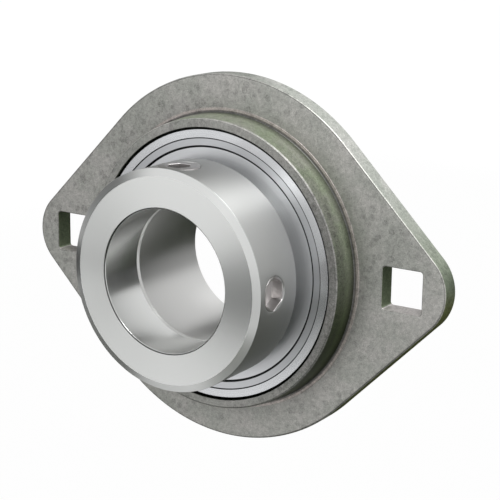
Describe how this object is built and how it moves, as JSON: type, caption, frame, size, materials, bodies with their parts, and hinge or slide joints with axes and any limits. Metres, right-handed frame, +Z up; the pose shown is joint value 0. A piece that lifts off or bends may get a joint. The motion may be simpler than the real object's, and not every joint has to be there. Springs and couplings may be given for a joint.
{
  "type": "flange bearing unit",
  "caption": "Flanged bearing unit: an insert ball bearing with an eccentric locking collar, self-aligning in a sheet-steel flange that bolts to a wall.",
  "frame": {"origin": "on the bore axis, in the flange's back face, which bolts to the wall", "axes": "the bore axis runs along Y and the unit's front faces -Y; X is the flange's long side and Z is up"},
  "size_m": [0.1228, 0.0384, 0.094],
  "materials": {
    "flange_steel": "matte",
    "ground_steel": "satin",
    "collar_steel": "satin",
    "seal_steel": "satin",
    "screw_steel": "satin",
    "ball_steel": "polished",
    "seal_rubber": "matte",
    "polyamide": "matte"
  },
  "bodies": {
    "housing": {"flange_housing": "flange_steel"},
    "outer": {"outer_ring": "ground_steel", "front_seal_washer": "seal_steel", "front_seal_lip": "seal_rubber", "rear_seal_washer": "seal_steel", "rear_seal_lip": "seal_rubber"},
    "inner": {"inner_ring": "ground_steel", "front_flinger": "seal_steel", "rear_flinger": "seal_steel"},
    "cage": {"cage": "polyamide"},
    "collar": {"locking_collar": "collar_steel"},
    "side_screw": {"side_screw": "screw_steel"},
    "top_screw": {"top_screw": "screw_steel"},
    "ball_1": {"ball_1": "ball_steel"},
    "ball_2": {"ball_2": "ball_steel"},
    "ball_3": {"ball_3": "ball_steel"},
    "ball_4": {"ball_4": "ball_steel"},
    "ball_5": {"ball_5": "ball_steel"},
    "ball_6": {"ball_6": "ball_steel"},
    "ball_7": {"ball_7": "ball_steel"},
    "ball_8": {"ball_8": "ball_steel"},
    "ball_9": {"ball_9": "ball_steel"}
  },
  "joints": [
    {"name": "self_align", "type": "hinge", "parent": "housing", "child": "outer", "pos_m": [0, -0.0026, 0], "axis": [1, 0, 0], "range_deg": [-4, 4]},
    {"name": "shaft_spin", "type": "hinge", "parent": "outer", "child": "inner", "pos_m": [0, -0.0026, 0], "axis": [0, -1, 0], "continuous": true},
    {"name": "cage_spin", "type": "hinge", "parent": "outer", "child": "cage", "pos_m": [0, -0.0026, 0], "axis": [0, -1, 0], "continuous": true},
    {"name": "collar_turn", "type": "hinge", "parent": "inner", "child": "collar", "pos_m": [0, -0.0026, 0], "axis": [0, -1, 0], "range_deg": [-5, 5]},
    {"name": "side_screw_travel", "type": "slide", "parent": "collar", "child": "side_screw", "axis": [1, 0, 0], "range_m": [-0.0008, 0.003]},
    {"name": "top_screw_travel", "type": "slide", "parent": "collar", "child": "top_screw", "axis": [0, 0, 1], "range_m": [-0.0008, 0.003]},
    {"name": "ball_1_spin", "type": "hinge", "parent": "cage", "child": "ball_1", "pos_m": [0, -0.0026, 0.02675], "axis": [0, -1, 0], "continuous": true},
    {"name": "ball_2_spin", "type": "hinge", "parent": "cage", "child": "ball_2", "pos_m": [-0.01719, -0.0026, 0.02049], "axis": [0, -1, 0], "continuous": true},
    {"name": "ball_3_spin", "type": "hinge", "parent": "cage", "child": "ball_3", "pos_m": [-0.02634, -0.0026, 0.00464], "axis": [0, -1, 0], "continuous": true},
    {"name": "ball_4_spin", "type": "hinge", "parent": "cage", "child": "ball_4", "pos_m": [-0.02317, -0.0026, -0.01337], "axis": [0, -1, 0], "continuous": true},
    {"name": "ball_5_spin", "type": "hinge", "parent": "cage", "child": "ball_5", "pos_m": [-0.00915, -0.0026, -0.02514], "axis": [0, -1, 0], "continuous": true},
    {"name": "ball_6_spin", "type": "hinge", "parent": "cage", "child": "ball_6", "pos_m": [0.00915, -0.0026, -0.02514], "axis": [0, -1, 0], "continuous": true},
    {"name": "ball_7_spin", "type": "hinge", "parent": "cage", "child": "ball_7", "pos_m": [0.02317, -0.0026, -0.01337], "axis": [0, -1, 0], "continuous": true},
    {"name": "ball_8_spin", "type": "hinge", "parent": "cage", "child": "ball_8", "pos_m": [0.02634, -0.0026, 0.00464], "axis": [0, -1, 0], "continuous": true},
    {"name": "ball_9_spin", "type": "hinge", "parent": "cage", "child": "ball_9", "pos_m": [0.01719, -0.0026, 0.02049], "axis": [0, -1, 0], "continuous": true}
  ],
  "couplings": [
    {"joint": "cage_spin", "follows": "shaft_spin", "ratio": 0.39615},
    {"joint": "ball_1_spin", "follows": "shaft_spin", "ratio": -2.3035},
    {"joint": "ball_2_spin", "follows": "shaft_spin", "ratio": -2.3035},
    {"joint": "ball_3_spin", "follows": "shaft_spin", "ratio": -2.3035},
    {"joint": "ball_4_spin", "follows": "shaft_spin", "ratio": -2.3035},
    {"joint": "ball_5_spin", "follows": "shaft_spin", "ratio": -2.3035},
    {"joint": "ball_6_spin", "follows": "shaft_spin", "ratio": -2.3035},
    {"joint": "ball_7_spin", "follows": "shaft_spin", "ratio": -2.3035},
    {"joint": "ball_8_spin", "follows": "shaft_spin", "ratio": -2.3035},
    {"joint": "ball_9_spin", "follows": "shaft_spin", "ratio": -2.3035}
  ]
}
